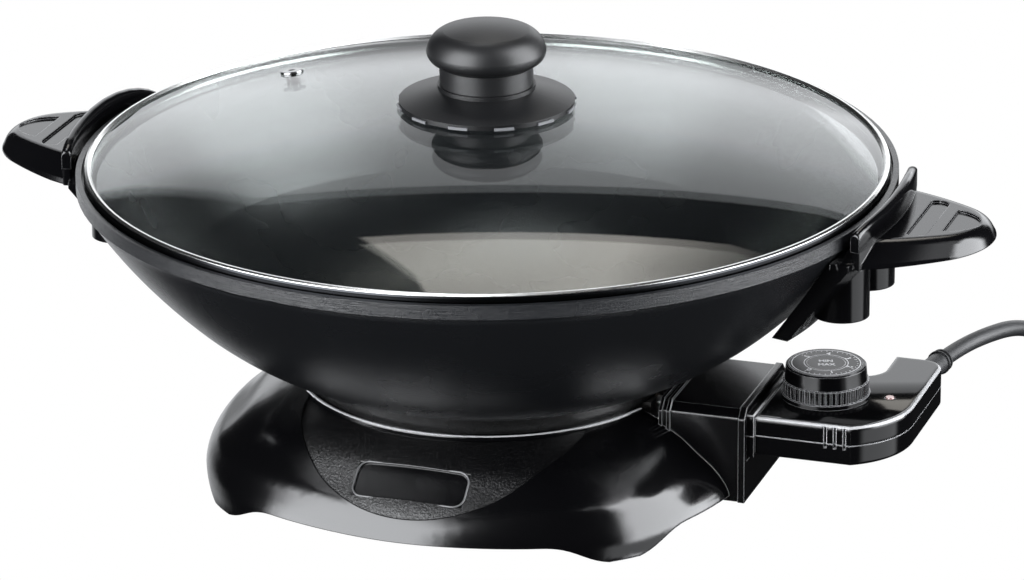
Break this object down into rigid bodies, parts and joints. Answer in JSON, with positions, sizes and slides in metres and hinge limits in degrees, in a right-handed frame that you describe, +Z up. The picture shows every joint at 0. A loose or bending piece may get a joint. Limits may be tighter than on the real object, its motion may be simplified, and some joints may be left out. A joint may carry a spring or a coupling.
{
  "type": "electric wok",
  "caption": "Countertop electric wok: cast bowl on a lobed plastic base, side handles, domed glass lid with a centre knob, and a plug-in thermostat controller with a dial and cord.",
  "frame": {"origin": "on the bowl's axis at table level", "axes": "+Z up, +X towards the controller and the right handle, -Y towards the front"},
  "size_m": [0.5654, 0.4527, 0.2089],
  "materials": {
    "bowl_coating": "satin non-stick coating",
    "base_plastic": "gloss",
    "handle_plastic": "gloss",
    "knob_plastic": "satin",
    "lid_glass": "clear",
    "rim_steel": "polished",
    "seal_rubber": "matte",
    "screw_steel": "plain",
    "insert_brass": "plain",
    "element_steel": "heat-tinted",
    "clamp_steel": "plain",
    "ceramic": "matt ceramic",
    "foot_rubber": "matte",
    "controller_plastic": "gloss",
    "dial_plastic": "gloss",
    "dial_face": "gloss",
    "switch_plastic": "matte",
    "lens_plastic": "clear red",
    "lamp_glass": "clear",
    "spindle_steel": "plain",
    "cord_rubber": "satin",
    "plug_rubber": "satin",
    "pin_nickel": "nickel-plated"
  },
  "bodies": {
    "cooker": {"wok_bowl": "bowl_coating", "heating_element": "element_steel", "terminal_pins": "screw_steel", "inlet_block": "ceramic", "element_clamp_plate": "clamp_steel", "clamp_screw": "screw_steel", "base_shell": "base_plastic", "base_screws": "screw_steel", "rubber_feet": "foot_rubber", "left_handle": "handle_plastic", "right_handle": "handle_plastic", "handle_screws": "screw_steel"},
    "lid": {"lid_glass": "lid_glass", "lid_rim_ring": "rim_steel", "steam_vent": "rim_steel", "lid_knob": "knob_plastic", "knob_skirt": "knob_plastic", "knob_seal": "seal_rubber", "knob_washer": "screw_steel", "knob_insert": "insert_brass", "knob_screw": "screw_steel"},
    "controller": {"controller_upper_housing": "controller_plastic", "controller_lower_housing": "controller_plastic", "housing_screws": "screw_steel", "terminal_carrier": "ceramic", "contact_sockets": "insert_brass", "probe_rod": "rim_steel", "thermostat_switch": "switch_plastic", "indicator_lens": "lens_plastic", "indicator_lamp": "lamp_glass", "strain_relief": "cord_rubber", "cord_tube": "cord_rubber", "cord_coil": "cord_rubber", "coil_tie": "plug_rubber", "cord_tail": "cord_rubber", "plug_sleeve": "plug_rubber", "plug_body": "plug_rubber", "plug_pins": "pin_nickel"},
    "dial": {"dial_grip": "dial_plastic", "dial_face": "dial_face", "dial_spindle": "spindle_steel"}
  },
  "joints": [
    {"name": "lid_lift", "type": "slide", "parent": "cooker", "child": "lid", "axis": [0, 0, 1], "range_m": [0, 0.12]},
    {"name": "controller_pull", "type": "slide", "parent": "cooker", "child": "controller", "axis": [1, 0, 0], "range_m": [0, 0.085]},
    {"name": "dial_turn", "type": "hinge", "parent": "controller", "child": "dial", "pos_m": [0.1573, 0.0066, 0.0474], "axis": [0, 0, 1], "range_deg": [-270, 0]}
  ]
}
